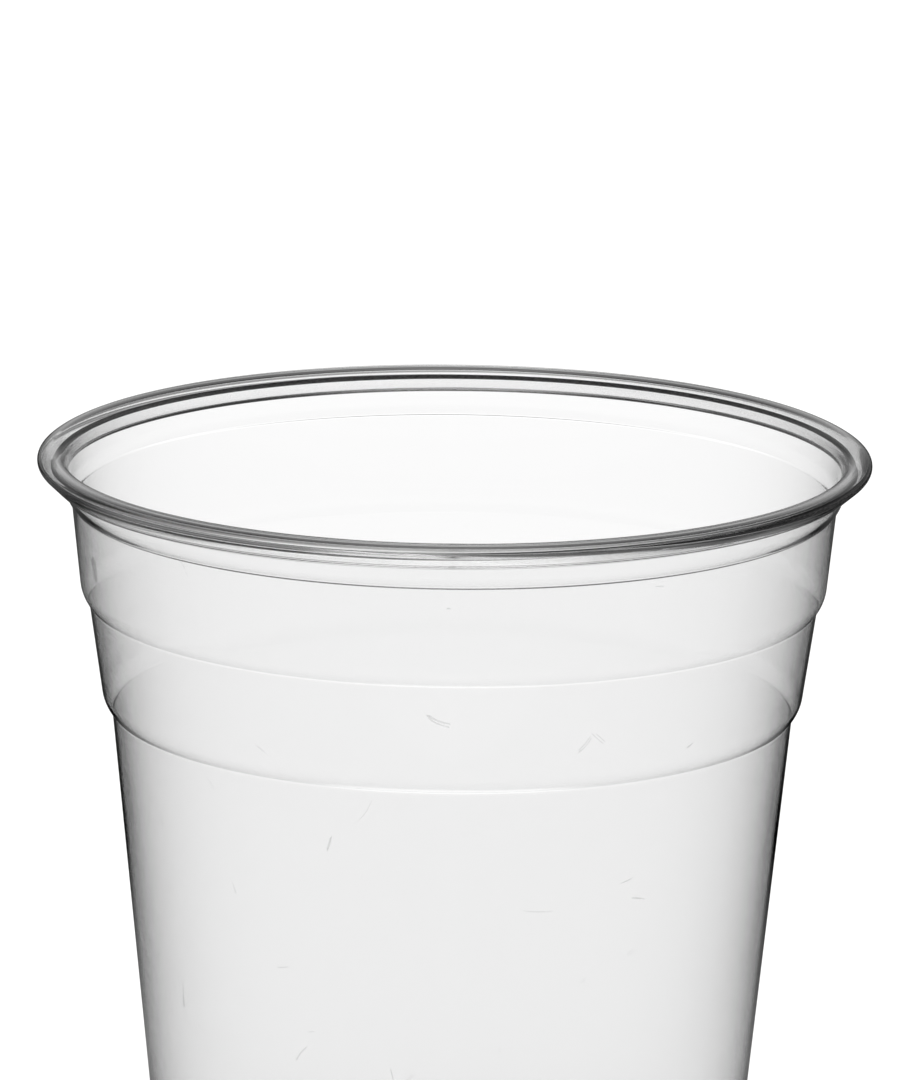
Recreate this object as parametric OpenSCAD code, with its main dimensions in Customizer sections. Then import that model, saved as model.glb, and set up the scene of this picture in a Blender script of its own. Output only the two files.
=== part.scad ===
// Clear disposable drinking cup, formed from one sheet of plastic.
// The cup is one revolved wall: a raised base panel, a standing ring, a tapered side
// with two small stacking steps, a pinched neck and a hollow rolled lip.

/* [Overall] */
// Height from the table to the top of the lip
height = 120; // [100:1:140]
// Diameter across the outside of the lip
rim_d = 98; // [94:0.5:102]

/* [Sheet] */
// Thickness of the sheet over the crown and nose of the lip, which forming leaves thick
lip_t = 0.64; // [0.5:0.01:0.67]
// Thickness of the sheet under the roll, where rolling has drawn it thinner
tail_t = 0.53; // [0.4:0.01:0.56]
// Thickness of the sheet at the neck crease
neck_t = 0.54; // [0.4:0.01:0.6]
// Thickness of the sheet in the side and base, where forming stretches it
wall_t = 0.32; // [0.25:0.01:0.45]

/* [Rolled lip] */
// Width of the roll, from its inner side to its nose
lip_w = 3.4; // [3.35:0.01:3.6]
// Height of the roll, from its top to its underside
lip_h = 3.17; // [3.1:0.01:3.3]
// Radius over the top of the roll
crown_r = 1.85; // [1.6:0.01:1.89]
// Radius of the nose, the widest part of the roll
nose_r = 0.68; // [0.65:0.01:0.8]
// Depth of the middle of the nose below the top of the lip
nose_drop = 1; // [0.9:0.01:1.06]
// Radius under the roll, where the sheet turns in
tail_r = 0.87; // [0.7:0.01:1.1]
// Radius where the sheet turns back up, inside the roll
tuck_r = 0.57; // [0.54:0.01:0.65]
// Angle that it turns through there, from lying flat
tuck_turn = 124; // [118:1:130]
// Length of the straight end of the sheet, after that turn
tuck_len = 1.24; // [0.8:0.01:1.35]
// Gap between that turn and the neck
tuck_gap = 0.08; // [0.05:0.01:0.15]

/* [Neck] */
// Depth of the neck crease below the top of the lip
neck_drop = 5.87; // [5.4:0.01:7]
// Lean of the straight part of the neck, outwards from upright
neck_lean = 8.2; // [7:0.1:9.5]
// Depth of the crease, inwards from the line of the straight part
neck_pinch = 0.59; // [0.3:0.01:0.8]
// Lean of the neck just above the crease
flare_lean = 42; // [33:1:50]
// Radius in the crease, on the outside
crease_r = 0.25; // [0.1:0.01:0.5]

/* [Side] */
// Depth of the upper step below the top of the lip
step1_drop = 17.65; // [15:0.05:22]
// Depth of the lower step below the top of the lip
step2_drop = 30.75; // [27:0.05:40]
// Height of the rounded shoulder above each step
shoulder_h = 2.2; // [1.8:0.1:3]
// Amount that the wall steps in at the upper step
step1_in = 1.02; // [0.8:0.01:1.2]
// Amount that the wall steps in at the lower step
step2_in = 1.17; // [0.9:0.01:1.4]
// Radius in the corner under each shoulder, on the outside
corner_r = 0.5; // [0.15:0.05:0.8]
// Lean of the side above the upper step
taper1 = 5.9; // [4:0.1:7]
// Lean of the side between the steps
taper2 = 8.1; // [6:0.1:9]
// Lean of the side below the lower step
taper3 = 5.6; // [4:0.1:6.5]

/* [Base] */
// Radius between the side and the standing ring
foot_r = 2.6; // [1.5:0.1:4]
// Width of the flat standing ring
ring_w = 1.4; // [0.8:0.1:3]
// Height of the base panel above the table, to its underside
panel_h = 2.4; // [1.8:0.1:4]
// Radius at both edges of the slope between the ring and the panel
panel_r = 0.9; // [0.6:0.1:1]
// Lean of that slope, inwards from upright
panel_lean = 30; // [20:1:45]

/* [Hidden] */
$fn = 96;

clear_plastic = [0.86, 0.88, 0.89, 0.35];

// Segments in each arc: one for about every six degrees, and at least three
arc_step = 6;

// Place of each level
neck_z = height - neck_drop;
step1_z = height - step1_drop;
step2_z = height - step2_drop;
tail_z = height - lip_h;

// The profile is one face of the sheet as [radius, height, normal]: the face that is
// outside on the side and inside the roll. The normal is the angle of the direction that
// points away from the sheet's other face. An arc that bulges outwards has its normal
// along its radius, a hollow one against it.
function arc_count(a0, a1) = max(3, ceil(abs(a1 - a0) / arc_step));
function bulge(c, r, a0, a1) =
    let (n = arc_count(a0, a1))
    [for (i = [0 : n]) let (a = a0 + (a1 - a0) * i / n) [c[0] + r * cos(a), c[1] + r * sin(a), a]];
function hollow(c, r, a0, a1) =
    let (n = arc_count(a0, a1))
    [for (i = [0 : n]) let (a = a0 + (a1 - a0) * i / n) [c[0] - r * cos(a), c[1] - r * sin(a), a]];

// A shoulder is one bulging arc from the wall above it down to the corner under it. The
// chord of the arc gives its lean at the corner, and its height gives its radius.
function shoulder_lean(in, taper) = 2 * atan(in / shoulder_h) - taper;
function shoulder_radius(in, taper) =
    shoulder_h / (sin(shoulder_lean(in, taper)) - sin(taper));

// Centre of the small hollow arc that rounds the corner between the wall below, which
// passes through the point with the given lean, and a bulging arc above it
function corner_centre(point, lean, r, centre, bend) =
    let (
        along = [sin(lean), cos(lean)],
        start = point + r * [cos(lean), -sin(lean)] - centre,
        half = along * start
    )
    start + centre - (half + sqrt(half * half - start * start + (bend + r) * (bend + r))) * along;

// The corner, from the lean of the wall below, and the arc, up to the lean of the wall above
function shoulder(point, below, r, centre, bend, above) =
    let (
        small = corner_centre(point, below, r, centre, bend),
        touch = atan2(small[1] - centre[1], small[0] - centre[0])
    )
    concat(hollow(small, r, -below, touch), bulge(centre, bend, touch, -above));

// Angle of the normal on the line that touches two circles on their outer side, where
// each circle is [centre radius, centre height, radius] and the line runs clockwise
function tangent_normal(a, b) =
    let (
        dx = b[0] - a[0],
        dy = b[1] - a[1],
        heading = atan2(dy, dx),
        clockwise = heading > 90 ? heading - 360 : heading
    )
    clockwise + 90 - asin((a[2] - b[2]) / norm([dx, dy]));

// Crown and nose of the roll, as circles on its outside
crown = [rim_d / 2 - lip_w + crown_r, height - crown_r, crown_r];
nose = [rim_d / 2 - nose_r, height - nose_drop, nose_r];

// The sheet is thickest over the roll. It thins down the neck to the crease, and on down to
// the upper step.
function share(z, low, high) = max(0, min(1, (z - low) / (high - low)));
function thickness(z) = z >= neck_z
    ? neck_t + (lip_t - neck_t) * share(z, neck_z, crown[1])
    : wall_t + (neck_t - wall_t) * share(z, step1_z, neck_z);

// The neck's inner face runs straight up and touches the inner side of the crown. This is
// the radius of its outer face, which goes on up inside the roll.
function neck_face_r(z) =
    crown[0] - (crown_r - thickness(z)) / cos(neck_lean) - (crown[1] - z) * tan(neck_lean);

// Under the roll the sheet turns in on the tail's circle, and then back up inside the roll
// on a smaller one beside the neck
tuck = [neck_face_r(tail_z + tuck_r) + tuck_gap + tuck_r, tail_z + tuck_r];
tail = [tuck[0], tail_z + tail_r, tail_r];
crown_nose = tangent_normal(crown, nose);
nose_tail = tangent_normal(nose, tail);

// Neck: an arc turns it out of the crease and into its straight part
neck_r = neck_face_r(neck_z) - neck_pinch;
flare_r = cos(neck_lean) * neck_pinch / (1 - cos(flare_lean - neck_lean));
flare_centre = [neck_r - flare_r * cos(flare_lean), neck_z + flare_r * sin(flare_lean)];

// Radius of the outer face at the bottom of each stretch of the side
shoulder1_r = neck_r - (neck_z - step1_z - shoulder_h) * tan(taper1);
step1_r = shoulder1_r - step1_in;
shoulder2_r = step1_r - (step1_z - step2_z - shoulder_h) * tan(taper2);
step2_r = shoulder2_r - step2_in;
table_r = step2_r - step2_z * tan(taper3);

// Arcs of the two shoulders
bend1 = shoulder_radius(step1_in, taper1);
centre1 = [shoulder1_r - bend1 * cos(taper1), step1_z + shoulder_h + bend1 * sin(taper1)];
bend2 = shoulder_radius(step2_in, taper2);
centre2 = [shoulder2_r - bend2 * cos(taper2), step2_z + shoulder_h + bend2 * sin(taper2)];

// Base: the slope between the ring and the panel is two arcs and the line between them
foot_centre = table_r + foot_r * tan(taper3) - foot_r / cos(taper3);
ring_in = foot_centre - ring_w;
slope_turn = 90 - panel_lean;
slope_run = (panel_h - 2 * panel_r * (1 - cos(slope_turn))) * tan(panel_lean)
    + 2 * panel_r * sin(slope_turn);

// The sheet's face that ends up outside, from the middle of the base to the top of the neck
function outside_face() = concat(
    [[0, panel_h, -90]],
    hollow([ring_in - slope_run, panel_h - panel_r], panel_r, -90, -90 - slope_turn),
    bulge([ring_in, panel_r], panel_r, -90 - slope_turn, -90),
    bulge([foot_centre, foot_r], foot_r, -90, -taper3),
    shoulder([step2_r, step2_z], taper3, corner_r, centre2, bend2, taper2),
    shoulder([step1_r, step1_z], taper2, corner_r, centre1, bend1, taper1),
    shoulder([neck_r, neck_z], taper1, crease_r, flare_centre, flare_r, neck_lean)
);

// The same face, carried on inside the roll to the cut end
function crown_and_nose() = concat(
    hollow([crown[0], crown[1]], crown_r - lip_t, -neck_lean, crown_nose - 180),
    hollow([nose[0], nose[1]], nose_r - lip_t, crown_nose - 180, nose_tail - 180)
);
function tail_and_tuck() =
    let (
        end = -270 - tuck_turn,
        turned = hollow(tuck, tuck_r - tail_t, -270, end),
        last = turned[len(turned) - 1]
    )
    concat(
        hollow([tail[0], tail[1]], tail_r - tail_t, nose_tail - 180, -270),
        turned,
        [[last[0] - tuck_len * sin(end), last[1] + tuck_len * cos(end), end]]
    );

// The sheet's other face, set back along each normal by the sheet's thickness
function set_back(p, t) = [p[0] - t * cos(p[2]), p[1] - t * sin(p[2])];
function other_face() = concat(
    [for (p = outside_face()) set_back(p, thickness(p[1]))],
    [for (p = crown_and_nose()) set_back(p, lip_t)],
    [for (p = tail_and_tuck()) set_back(p, tail_t)]
);
function backwards(list) = [for (i = [len(list) - 1 : -1 : 0]) list[i]];

module cup() {
    face = concat(outside_face(), crown_and_nose(), tail_and_tuck());
    color(clear_plastic)
        rotate_extrude()
            polygon(concat([for (p = face) [p[0], p[1]]], backwards(other_face())));
}

cup();
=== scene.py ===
"""Clear plastic disposable cup on a white table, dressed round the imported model."""
import math

import bpy
from mathutils import Matrix, Vector


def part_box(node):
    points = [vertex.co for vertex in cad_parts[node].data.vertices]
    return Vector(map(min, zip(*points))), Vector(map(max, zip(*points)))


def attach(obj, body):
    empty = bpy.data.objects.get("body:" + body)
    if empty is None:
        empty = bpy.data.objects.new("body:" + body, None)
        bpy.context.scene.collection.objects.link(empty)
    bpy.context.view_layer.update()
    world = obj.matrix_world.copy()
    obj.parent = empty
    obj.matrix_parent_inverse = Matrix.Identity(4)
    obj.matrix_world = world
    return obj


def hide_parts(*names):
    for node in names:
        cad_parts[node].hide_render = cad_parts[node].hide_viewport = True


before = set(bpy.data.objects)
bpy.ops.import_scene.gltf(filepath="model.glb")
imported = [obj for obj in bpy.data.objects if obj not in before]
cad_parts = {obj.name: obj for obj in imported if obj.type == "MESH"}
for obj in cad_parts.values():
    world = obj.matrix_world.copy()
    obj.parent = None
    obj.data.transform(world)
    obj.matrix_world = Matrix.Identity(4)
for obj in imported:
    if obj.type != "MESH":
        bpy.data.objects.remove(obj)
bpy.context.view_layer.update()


# Cup: one sheet of clear PET, heated and drawn into a mould, which leaves the steps, the
# neck crease and the raised base, and thins the side. Its lip is then warmed again and
# rolled over outwards, until the trimmed edge lies inside the roll.
MM = 0.001
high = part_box("cup")[1]
height = high.z / MM
rim_r = high.x / MM

# Thickness of the sheet, in millimetres as all sizes of the cup: over the crown of the roll,
# at its nose, under it, at the neck crease and in the side
lip_t = 0.66
nose_t = 0.63
tail_t = 0.425
neck_t = 0.6
wall_t = 0.27

# Roll: its width and height, and the radii of the crown's inner and outer halves. These sizes
# are fine ones, because the lines that the roll draws in the clear sheet move with them.
lip_w = 3.459
lip_h = 3.113
crown_in_r = 1.898
crown_r = 1.973
# Nose, the widest part of the roll: its radius, and its depth below the top
nose_r = 0.669
nose_drop = 1.003
# Underside: the radius where the sheet turns in, and the flat after it
tail_r = 0.848
tail_flat = 0.027
# End of the sheet: the turn back up inside the roll, beside the neck, and the straight after
# it, whose last stretch is torn. The two corners of the cut are taken off.
tuck_r = 0.54
tuck_turn = 112
tuck_gap = 0.046
tuck_len = 1.255
torn_len = 0.37
torn_blend = 0.01
cut_bevel = 0.12
# Uneven rolling: how far the underside is lower on one side of the cup, and higher opposite
roll_sag = 0.2

# Neck: depth and leans of the crease, and the radius in it
neck_drop = 5.87
neck_lean = 8.48
neck_pinch = 0.57
flare_lean = 44
crease_r = 0.32

# Side: the two steps, upper one first, and the lean of each band, top one first
step_drops = (17.8, 30.95)
step_ins = (1.02, 1.17)
shoulder_h = 2.2
corner_r = 0.6
tapers = (5.9, 8.1, 5.6)

# Base: the rounded foot, the ring that stands on the table and the raised panel
foot_r = 2.6
ring_w = 1.4
panel_h = 2.4
panel_r = 0.9
panel_lean = 30

# Mesh: the most degrees to one piece of an arc, and the pieces round the cup
ARC_STEP = 5
SEGMENTS = 256


def cos(degrees):
    return math.cos(math.radians(degrees))


def sin(degrees):
    return math.sin(math.radians(degrees))


def tan(degrees):
    return math.tan(math.radians(degrees))


def arc(centre, radius, start, end, hollow=False):
    """Points [radius, height, normal angle] along one arc of the sheet's face."""
    side = -1 if hollow else 1
    count = max(3, math.ceil(abs(end - start) / ARC_STEP))
    points = []
    for i in range(count + 1):
        a = start + (end - start) * i / count
        points.append((centre[0] + side * radius * cos(a), centre[1] + side * radius * sin(a), a))
    return points


def shoulder(point, below, small_r, centre, bend, above):
    """A small hollow corner on the wall below, then the bulging arc up to the wall above."""
    along = Vector((sin(below), cos(below)))
    start = Vector(point) + small_r * Vector((cos(below), -sin(below))) - Vector(centre)
    half = along.dot(start)
    reach = half + math.sqrt(half * half - start.dot(start) + (bend + small_r) ** 2)
    small = start + Vector(centre) - reach * along
    touch = math.degrees(math.atan2(small.y - centre[1], small.x - centre[0]))
    return arc(small, small_r, -below, touch, hollow=True) + arc(centre, bend, touch, -above)


def tangent_normal(a, b):
    """Normal of the line that touches two circles (radius from axis, height, own radius)."""
    dx, dy = b[0] - a[0], b[1] - a[1]
    heading = math.degrees(math.atan2(dy, dx))
    clockwise = heading - 360 if heading > 90 else heading
    return clockwise + 90 - math.degrees(math.asin((a[2] - b[2]) / math.hypot(dx, dy)))


neck_z = height - neck_drop
step1_z, step2_z = (height - drop for drop in step_drops)
crown_in = (rim_r - lip_w + crown_in_r, height - crown_in_r, crown_in_r)
crown = (crown_in[0], height - crown_r, crown_r)
nose = (rim_r - nose_r, height - nose_drop, nose_r)


def share(z, low_z, high_z):
    """How far a height lies from the low level to the high one, from 0 to 1."""
    return min(1, max(0, (z - low_z) / (high_z - low_z)))


def thickness(z):
    """The sheet thins down the neck to the crease, and on down to the upper step."""
    if z >= neck_z:
        return neck_t + (lip_t - neck_t) * share(z, neck_z, crown_in[1])
    return wall_t + (neck_t - wall_t) * share(z, step1_z, neck_z)


def neck_face_r(z):
    """Outer face of the neck, whose inner face runs straight up to touch the crown."""
    inner_face = crown_in[0] - crown_in_r / cos(neck_lean) - (crown_in[1] - z) * tan(neck_lean)
    return inner_face + thickness(z) / cos(neck_lean)


tail_z = height - lip_h
tuck = (neck_face_r(tail_z + tuck_r) + tuck_gap + tuck_r, tail_z + tuck_r, tuck_r)
tail = (tuck[0] + tail_flat, tail_z + tail_r, tail_r)
crown_nose = tangent_normal(crown, nose)
nose_tail = tangent_normal(nose, tail)
neck_r = neck_face_r(neck_z) - neck_pinch
flare_r = cos(neck_lean) * neck_pinch / (1 - cos(flare_lean - neck_lean))
flare_centre = (neck_r - flare_r * cos(flare_lean), neck_z + flare_r * sin(flare_lean))

# Radius at the top and the bottom of each shoulder, and on the table
shoulder1_r = neck_r - (neck_z - step1_z - shoulder_h) * tan(tapers[0])
step1_r = shoulder1_r - step_ins[0]
shoulder2_r = step1_r - (step1_z - step2_z - shoulder_h) * tan(tapers[1])
step2_r = shoulder2_r - step_ins[1]
table_r = step2_r - step2_z * tan(tapers[2])


def shoulder_arc(top_r, level, step_in, taper):
    """Centre and radius of the arc of one shoulder, from its chord."""
    lean = 2 * math.degrees(math.atan(step_in / shoulder_h)) - taper
    bend = shoulder_h / (sin(lean) - sin(taper))
    return (top_r - bend * cos(taper), level + shoulder_h + bend * sin(taper)), bend


centre1, bend1 = shoulder_arc(shoulder1_r, step1_z, step_ins[0], tapers[0])
centre2, bend2 = shoulder_arc(shoulder2_r, step2_z, step_ins[1], tapers[1])
foot_centre = table_r + foot_r * tan(tapers[2]) - foot_r / cos(tapers[2])
ring_in = foot_centre - ring_w
slope_turn = 90 - panel_lean
slope_rise = panel_h - 2 * panel_r * (1 - cos(slope_turn))
slope_run = slope_rise * tan(panel_lean) + 2 * panel_r * sin(slope_turn)

# Outer face, from the middle of the base to the top of the neck
side = [(0, panel_h, -90)]
side += arc((ring_in - slope_run, panel_h - panel_r), panel_r, -90, -90 - slope_turn, hollow=True)
side += arc((ring_in, panel_r), panel_r, -90 - slope_turn, -90)
side += arc((foot_centre, foot_r), foot_r, -90, -tapers[2])
side += shoulder((step2_r, step2_z), tapers[2], corner_r, centre2, bend2, tapers[1])
side += shoulder((step1_r, step1_z), tapers[1], corner_r, centre1, bend1, tapers[0])
side += shoulder((neck_r, neck_z), tapers[0], crease_r, flare_centre, flare_r, neck_lean)


def roll_arc(circle, start, end, first_t, last_t):
    """Points [radius, height, normal angle, thickness] along an arc on the roll's outside."""
    points = arc(circle, circle[2], start, end, hollow=True)
    last = len(points) - 1
    return [(*p, first_t + (last_t - first_t) * i / last) for i, p in enumerate(points)]


# The sheet's other face, carried on over the roll to the trimmed edge
roll = roll_arc(crown_in, -neck_lean, -90, lip_t, lip_t)
roll += roll_arc(crown, -90, crown_nose - 180, lip_t, nose_t)[1:]
roll += roll_arc(nose, crown_nose - 180, nose_tail - 180, nose_t, nose_t)
roll += roll_arc(tail, nose_tail - 180, -270, tail_t, tail_t)
roll += roll_arc(tuck, -270, -270 - tuck_turn, tail_t, tail_t)
r, z, end, t = roll[-1]
torn_from = tuck_len - torn_len
for along in (torn_from, torn_from + torn_blend, tuck_len):
    roll += [(r - along * sin(end), z + along * cos(end), end, t)]

outer = [(r, z) for r, z, _ in side] + [(r + t * cos(a), z + t * sin(a)) for r, z, a, t in roll]
inner = [(r - thickness(z) * cos(a), z - thickness(z) * sin(a)) for r, z, a in side]
inner += [(r, z) for r, z, _, _ in roll]
ahead = Vector((-sin(end), cos(end))) * cut_bevel
across = Vector((cos(end), sin(end))) * cut_bevel
cut = [tuple(Vector(outer[-1]) + ahead - across), tuple(Vector(inner[-1]) + ahead + across)]
profile = outer + cut + inner[::-1]

# How much each point follows the uneven underside: not at all up to the top of the crown
slack = [0.0] * len(side) + [(height - z) / lip_h if a < -90 else 0.0 for _, z, a, _ in roll]
slack += [slack[-1]] * len(cut) + slack[::-1]

# Where the sheet is torn, and painted with dark shade: on the cut, and on the last two points of
# each face
torn_points = 2
torn_and_painted_shade = [0.0] * (len(outer) - torn_points) + [1.0] * (len(cut) + 2 * torn_points)
torn_and_painted_shade += [0.0] * (len(inner) - torn_points)

mesh = bpy.data.meshes.new("cup_profile")
edges = [(i, i + 1) for i in range(len(profile) - 1)]
mesh.from_pydata([(r * MM, 0, z * MM) for r, z in profile], edges, [])
for name, values in (("slack", slack), ("torn_and_painted_shade", torn_and_painted_shade)):
    mesh.attributes.new(name, "FLOAT", "POINT").data.foreach_set("value", values)
profile_object = bpy.data.objects.new("cup_profile", mesh)
bpy.context.scene.collection.objects.link(profile_object)


def add(tree, kind, links=(), **settings):
    """Adds a node. links pairs one of its inputs with a socket or a value."""
    node = tree.nodes.new(kind)
    for name, value in settings.items():
        setattr(node, name, value)
    for name, source in links:
        if isinstance(source, bpy.types.NodeSocket):
            tree.links.new(source, node.inputs[name])
        else:
            node.inputs[name].default_value = source
    return node


def hex_linear(text):
    """An sRGB colour such as "F2F4F5" as linear numbers."""
    values = [int(text[i:i + 2], 16) / 255 for i in (0, 2, 4)]
    return [v / 12.92 if v <= 0.04045 else ((v + 0.055) / 1.055) ** 2.4 for v in values] + [1.0]


# Clear PET, formed hot against a smooth mould: a bright, colourless body with hard edges,
# dark where it turns away and white along the steps. Its marks are small and few: hairlines
# 0.1 to 0.3 mm wide and up to 4 mm long, some specks of dust, and the ragged trimmed edge,
# whose dark grey is painted shade.
pet_ior = 1.575
clear = "FFFFFF"
marked = "DCDCDC"
# Dark grey of the torn end: painted shade for the light lost there
torn_end_painted_shade = "3A3A3A"
ragged_roughness = 0.15

clear_pet = bpy.data.materials.new("clear_pet_thermoformed")
clear_pet.use_nodes = True
nodes = clear_pet.node_tree
shader = nodes.nodes["Principled BSDF"]
shader.inputs["Transmission Weight"].default_value = 1
shader.inputs["IOR"].default_value = pet_ior
where = add(nodes, "ShaderNodeTexCoord")

# Hairlines run where one noise of long curves passes its middle, and are kept in the few
# spots where a finer one is high. Its highest peaks are the specks.
curve_size = 16.67
curve_middle = 0.5
curve_width = 0.0012
spot_size = 4.35
spot_level = 0.74
speck_level = 0.93
curves = add(nodes, "ShaderNodeTexNoise", [
    ("Vector", where.outputs["Object"]), ("Scale", 1 / (curve_size * MM)), ("Detail", 0.0)])
off_middle = add(nodes, "ShaderNodeMath", [(0, curves.outputs["Fac"]), (1, curve_middle)],
                 operation="SUBTRACT")
near = add(nodes, "ShaderNodeMath", [(0, off_middle.outputs[0])], operation="ABSOLUTE")
thin = add(nodes, "ShaderNodeMath", [(0, near.outputs[0]), (1, curve_width)],
           operation="LESS_THAN")
spots = add(nodes, "ShaderNodeTexNoise", [
    ("Vector", where.outputs["Object"]), ("Scale", 1 / (spot_size * MM)), ("Detail", 0.0)])
patches = add(nodes, "ShaderNodeMath", [(0, spots.outputs["Fac"]), (1, spot_level)],
              operation="GREATER_THAN")
hairlines = add(nodes, "ShaderNodeMath", [(0, thin.outputs[0]), (1, patches.outputs[0])],
                operation="MULTIPLY")
specks = add(nodes, "ShaderNodeMath", [(0, spots.outputs["Fac"]), (1, speck_level)],
             operation="GREATER_THAN")
marks = add(nodes, "ShaderNodeMath", [(0, hairlines.outputs[0]), (1, specks.outputs[0])],
            operation="MAXIMUM")

# The lip has none of these marks
axes = add(nodes, "ShaderNodeSeparateXYZ", [("Vector", where.outputs["Object"])])
below_neck = add(nodes, "ShaderNodeMath", [(0, axes.outputs["Z"]), (1, neck_z * MM)],
                 operation="LESS_THAN")
on_side = add(nodes, "ShaderNodeMath", [(0, marks.outputs[0]), (1, below_neck.outputs[0])],
              operation="MULTIPLY")
tint = add(nodes, "ShaderNodeMix", [
    ("Factor", on_side.outputs[0]), ("A", hex_linear(clear)), ("B", hex_linear(marked))],
    data_type="RGBA")

# The torn end of the sheet is ragged and rough; its dark grey is painted shade, for the light
# lost there
torn_painted_shade_here = add(nodes, "ShaderNodeAttribute", attribute_name="torn_and_painted_shade")
colour = add(nodes, "ShaderNodeMix", [
    ("Factor", torn_painted_shade_here.outputs["Fac"]), ("A", tint.outputs["Result"]),
    ("B", hex_linear(torn_end_painted_shade))], data_type="RGBA")
rough = add(nodes, "ShaderNodeMath", [(0, torn_painted_shade_here.outputs["Fac"]), (1, ragged_roughness)],
            operation="MULTIPLY")
nodes.links.new(colour.outputs["Result"], shader.inputs["Base Color"])
nodes.links.new(rough.outputs[0], shader.inputs["Roughness"])

tree = bpy.data.node_groups.new("revolved_sheet", "GeometryNodeTree")
tree.interface.new_socket("Profile", in_out="INPUT", socket_type="NodeSocketGeometry")
segments = tree.interface.new_socket("Segments", in_out="INPUT", socket_type="NodeSocketInt")
sag = tree.interface.new_socket("Sag", in_out="INPUT", socket_type="NodeSocketFloat")
plastic = tree.interface.new_socket("Plastic", in_out="INPUT", socket_type="NodeSocketMaterial")
tree.interface.new_socket("Sheet", in_out="OUTPUT", socket_type="NodeSocketGeometry")
entry = add(tree, "NodeGroupInput")

# A grid with a row for each point of the profile and a column for each step round the cup
points = add(tree, "GeometryNodeAttributeDomainSize", [("Geometry", entry.outputs["Profile"])])
columns = add(tree, "ShaderNodeMath", [(0, entry.outputs["Segments"]), (1, 1.0)], operation="ADD")
grid = add(tree, "GeometryNodeMeshGrid", [
    ("Size X", 1.0), ("Size Y", 1.0),
    ("Vertices X", columns.outputs[0]), ("Vertices Y", points.outputs["Point Count"])])
index = add(tree, "GeometryNodeInputIndex")
row = add(tree, "ShaderNodeMath", [
    (0, index.outputs[0]), (1, points.outputs["Point Count"])], operation="MODULO")
column = add(tree, "ShaderNodeMath", [
    (0, index.outputs[0]), (1, points.outputs["Point Count"])], operation="DIVIDE")
whole = add(tree, "ShaderNodeMath", [(0, column.outputs[0])], operation="FLOOR")
turn = add(tree, "ShaderNodeMath", [
    (0, whole.outputs[0]), (1, entry.outputs["Segments"])], operation="DIVIDE")
angle = add(tree, "ShaderNodeMath", [(0, turn.outputs[0]), (1, math.tau)], operation="MULTIPLY")

# Each row takes its place from the profile, and is turned about the cup's axis
place = add(tree, "GeometryNodeInputPosition")
on_profile = add(tree, "GeometryNodeSampleIndex", [
    ("Geometry", entry.outputs["Profile"]), ("Value", place.outputs[0]),
    ("Index", row.outputs[0])], data_type="FLOAT_VECTOR")
turned = add(tree, "ShaderNodeVectorRotate", [
    ("Vector", on_profile.outputs["Value"]), ("Axis", (0, 0, 1)), ("Angle", angle.outputs[0])],
    rotation_type="AXIS_ANGLE")

# The underside of the roll sags on one side of the cup and rises on the other
slack_along = add(tree, "GeometryNodeInputNamedAttribute", [("Name", "slack")],
                  data_type="FLOAT")
loose = add(tree, "GeometryNodeSampleIndex", [
    ("Geometry", entry.outputs["Profile"]), ("Value", slack_along.outputs["Attribute"]),
    ("Index", row.outputs[0])], data_type="FLOAT")
swing = add(tree, "ShaderNodeMath", [(0, angle.outputs[0])], operation="COSINE")
full_rise = add(tree, "ShaderNodeMath", [(0, swing.outputs[0]), (1, entry.outputs["Sag"])],
                operation="MULTIPLY")
rise = add(tree, "ShaderNodeMath", [(0, full_rise.outputs[0]), (1, loose.outputs["Value"])],
           operation="MULTIPLY")
upwards = add(tree, "ShaderNodeCombineXYZ", [("Z", rise.outputs[0])])
placed = add(tree, "GeometryNodeSetPosition", [
    ("Geometry", grid.outputs["Mesh"]), ("Position", turned.outputs[0]),
    ("Offset", upwards.outputs[0])])

# The torn end and its painted shade are carried over to the sheet, for its material
torn_painted_shade_along = add(tree, "GeometryNodeInputNamedAttribute", [("Name", "torn_and_painted_shade")], data_type="FLOAT")
torn_painted_shade_row = add(tree, "GeometryNodeSampleIndex", [
    ("Geometry", entry.outputs["Profile"]), ("Value", torn_painted_shade_along.outputs["Attribute"]),
    ("Index", row.outputs[0])], data_type="FLOAT")
stored = add(tree, "GeometryNodeStoreNamedAttribute", [
    ("Geometry", placed.outputs[0]), ("Name", "torn_and_painted_shade"), ("Value", torn_painted_shade_row.outputs["Value"])],
    data_type="FLOAT", domain="POINT")

# The seam and both poles are closed, at a distance well under the closest points of the nose
merge_distance = 0.0001
merged = add(tree, "GeometryNodeMergeByDistance", [
    ("Geometry", stored.outputs[0]), ("Distance", merge_distance * MM)])
smooth = add(tree, "GeometryNodeSetShadeSmooth", [("Geometry", merged.outputs[0])])
real = add(tree, "GeometryNodeRealizeInstances", [("Geometry", smooth.outputs[0])])
painted = add(tree, "GeometryNodeSetMaterial", [
    ("Geometry", real.outputs[0]), ("Material", entry.outputs["Plastic"])])
add(tree, "NodeGroupOutput", [("Sheet", painted.outputs[0])])

revolve = profile_object.modifiers.new("revolve", "NODES")
revolve.node_group = tree
revolve[segments.identifier] = SEGMENTS
revolve[sag.identifier] = roll_sag * MM
revolve[plastic.identifier] = clear_pet
bpy.context.view_layer.update()
evaluated = profile_object.evaluated_get(bpy.context.evaluated_depsgraph_get())
cup_mesh = bpy.data.meshes.new_from_object(evaluated)
bpy.data.objects.remove(profile_object)
cup = bpy.data.objects.new("cup_shell", cup_mesh)
bpy.context.scene.collection.objects.link(cup)
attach(cup, "root")
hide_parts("cup")


# Table: one large sheet of white paper, laid flat, on which the cup stands. To the cup it
# glows with painted light: what shines straight through the cup is bright, and what the cup's
# faces throw back is dark but for a painted bright strip of table behind it.
table_size = 6.0
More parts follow.
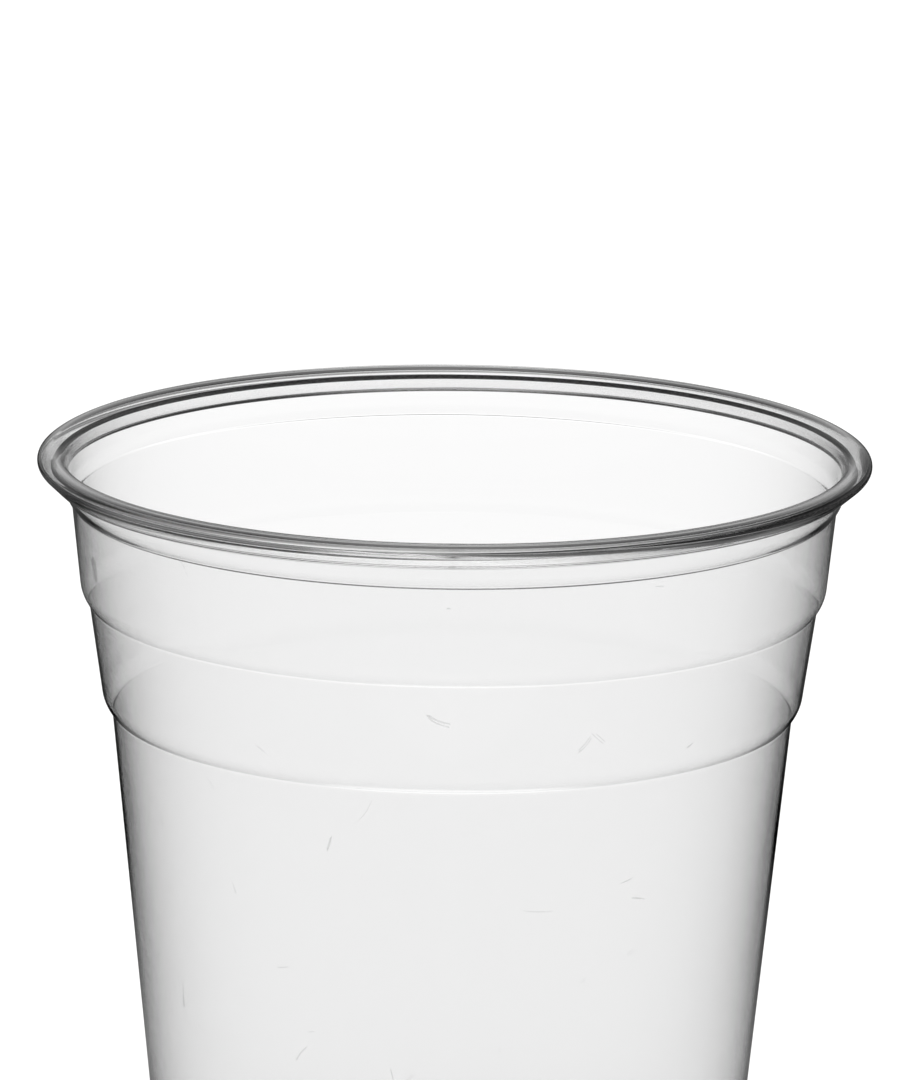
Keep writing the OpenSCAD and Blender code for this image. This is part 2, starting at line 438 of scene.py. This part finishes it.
# Half the width round the cup, in degrees, of the strip behind it: on the paper a painted bright
# strip
strip_bearing = 12
half = table_size / 2
table_mesh = bpy.data.meshes.new("table")
table_mesh.from_pydata([(-half, -half, 0), (half, -half, 0), (half, half, 0), (-half, half, 0)],
                       [], [(0, 1, 2, 3)])
table = bpy.data.objects.new("table", table_mesh)
bpy.context.scene.collection.objects.link(table)


def light_along(tree, reach, stops):
    """Light that changes along a reach, through stops of how far and how bright."""
    start, end = stops[0][0], stops[-1][0]
    spread = add(tree, "ShaderNodeMapRange", [
        ("Value", reach), ("From Min", start), ("From Max", end)])
    grey = add(tree, "ShaderNodeValToRGB", [("Fac", spread.outputs["Result"])])
    marks = grey.color_ramp.elements
    for _ in stops[2:]:
        marks.new(0.5)
    for mark, (far, bright) in zip(marks, stops):
        mark.position = (far - start) / (end - start)
        mark.color = (bright, bright, bright, 1)
    return grey.outputs["Color"]


def light_on_cup(tree, path, place, straight, behind, beside, plain):
    """Light that the cup gets from a place, or the plain colour that all else sees there."""
    axes = add(tree, "ShaderNodeSeparateXYZ", [("Vector", place)])
    bearing = add(tree, "ShaderNodeMath", [(0, axes.outputs["X"]), (1, axes.outputs["Y"])],
                  operation="ARCTAN2")
    off_strip = add(tree, "ShaderNodeMath", [(0, bearing.outputs[0])], operation="ABSOLUTE")
    beyond = light_along(tree, off_strip.outputs[0], [(0, 0), (math.radians(strip_bearing), 1)])
    thrown_back = add(tree, "ShaderNodeMix", [
        ("Factor", beyond), ("A", behind), ("B", beside)], data_type="RGBA")
    reflected = add(tree, "ShaderNodeMath", [(0, path.outputs["Glossy Depth"]), (1, 0.5)],
                    operation="GREATER_THAN")
    on_cup = add(tree, "ShaderNodeMix", [
        ("Factor", reflected.outputs[0]), ("A", straight), ("B", thrown_back.outputs["Result"])],
        data_type="RGBA")
    from_cup = add(tree, "ShaderNodeMath", [
        (0, path.outputs["Is Glossy Ray"]), (1, path.outputs["Is Transmission Ray"])],
        operation="MAXIMUM")
    light = add(tree, "ShaderNodeMix", [
        ("Factor", from_cup.outputs[0]), ("A", plain), ("B", on_cup.outputs["Result"])],
        data_type="RGBA")
    return light.outputs["Result"]


# Matt white paper: an even white with a soft shadow at the cup's foot, and no gloss. Its
# fibres are too fine to show.
paper_glow = "EAEAEA"
paper_shade = "8A8A8A"
paper = bpy.data.materials.new("matt_white_paper_painted_glow")
paper.use_nodes = True
tree = paper.node_tree
tree.nodes.clear()
path = add(tree, "ShaderNodeLightPath")
where = add(tree, "ShaderNodeTexCoord")
away = add(tree, "ShaderNodeVectorMath", [(0, where.outputs["Object"])], operation="LENGTH")

# Its painted light on the cup, glowing in rings by the distance from the cup's axis in metres
metres = away.outputs["Value"]
straight = light_along(tree, metres, [
    (0, 0.85), (0.15, 1), (0.35, 1.05), (0.55, 1.05), (0.7, 1.1), (1.2, 1.3), (1.8, 0.75),
    (2.6, 0.05)])
behind = light_along(tree, metres, [
    (0, 0), (0.15, 0), (0.25, 0.85), (0.7, 0.9), (1.2, 0.05), (2.6, 0.2)])
beside = light_along(tree, metres, [
    (0, 1.4), (0.04, 1.4), (0.05, 0.05), (0.15, 0.2), (0.25, 0), (0.4, 0.05), (0.7, 0.05),
    (1.2, 0)])
grey = light_on_cup(tree, path, where.outputs["Object"], straight, behind, beside,
                    hex_linear(paper_glow))
glow = add(tree, "ShaderNodeEmission", [("Color", grey), ("Strength", 1.0)])
matt = add(tree, "ShaderNodeBsdfDiffuse", [("Color", hex_linear(paper_shade))])
lit = add(tree, "ShaderNodeAddShader", [(0, glow.outputs[0]), (1, matt.outputs[0])])
seen = add(tree, "ShaderNodeMixShader", [
    ("Fac", path.outputs["Is Camera Ray"]), (1, glow.outputs[0]), (2, lit.outputs[0])])
add(tree, "ShaderNodeOutputMaterial", [("Surface", seen.outputs[0])])
table_mesh.materials.append(paper)


# Room: a white backdrop for the camera. Round the cup it is soft light high up and darkness
# at the level of the table, which draws the dark lines in the clear sheet.
backdrop = "FFFFFF"
world = bpy.data.worlds.new("studio")
bpy.context.scene.world = world
world.use_nodes = True
tree = world.node_tree
tree.nodes.clear()
path = add(tree, "ShaderNodeLightPath")
where = add(tree, "ShaderNodeTexCoord")
axes = add(tree, "ShaderNodeSeparateXYZ", [("Vector", where.outputs["Generated"])])
upward = add(tree, "ShaderNodeMath", [(0, axes.outputs["Z"])], operation="ARCSINE")
raised = add(tree, "ShaderNodeMath", [(0, upward.outputs[0])], operation="DEGREES")

# Its light on the cup, by the elevation in degrees
elevations = raised.outputs[0]
straight = light_along(tree, elevations, [
    (-2.5, 0.6), (3, 0.05), (9, 0.4), (17, 0.4), (27, 1.15), (42, 0.55), (62, 0.35), (90, 0.35)])
behind = light_along(tree, elevations, [
    (-2.5, 0.4), (3, 0.35), (9, 0.6), (17, 0.2), (27, 0.1), (42, 0.25), (62, 0)])
beside = light_along(tree, elevations, [
    (-2.5, 0.05), (3, 0.2), (9, 0.1), (17, 0.2), (27, 0.1), (42, 0), (62, 0), (90, 0.6)])
grey = light_on_cup(tree, path, where.outputs["Generated"], straight, behind, beside,
                    hex_linear(backdrop))
glow = add(tree, "ShaderNodeBackground", [("Color", grey), ("Strength", 1.0)])
add(tree, "ShaderNodeOutputWorld", [("Surface", glow.outputs[0])])


# Lamp: one broad light hung overhead, a little to one side. It lights the matt paper, for a
# soft shadow at the foot, and doesn't show in the clear sheet.
sun = bpy.data.lights.new("overhead", "SUN")
sun.energy = 0.6
sun.angle = math.radians(60)
lamp = bpy.data.objects.new("overhead", sun)
lamp.rotation_euler = (math.radians(20), math.radians(-15), 0)
lamp.visible_glossy = False
lamp.visible_transmission = False
bpy.context.scene.collection.objects.link(lamp)


# Camera: far off with a long lens, looking down on the lip by some 13 degrees, and turned
# half a degree about its own axis.
aim = Vector((0, 0, 0.10913))
distance = 0.94202
elevation = 13.419
tilt = 0.606
camera_data = bpy.data.cameras.new("camera")
camera_data.lens = 266.73
camera_data.clip_start = 0.01
camera_data.clip_end = 20
camera = bpy.data.objects.new("camera", camera_data)
bpy.context.scene.collection.objects.link(camera)
stand = aim + distance * Vector((0, -cos(elevation), sin(elevation)))
facing = (aim - stand).to_track_quat("-Z", "Y").to_matrix()
tilted = facing @ Matrix.Rotation(math.radians(tilt), 3, "Z")
camera.matrix_world = Matrix.Translation(stand) @ tilted.to_4x4()
bpy.context.scene.camera = camera

# Light passes many faces of the clear sheet before it is lost
bpy.context.scene.view_settings.view_transform = "Standard"
bpy.context.scene.cycles.max_bounces = 18
bpy.context.scene.cycles.glossy_bounces = 14
bpy.context.scene.cycles.transmission_bounces = 18
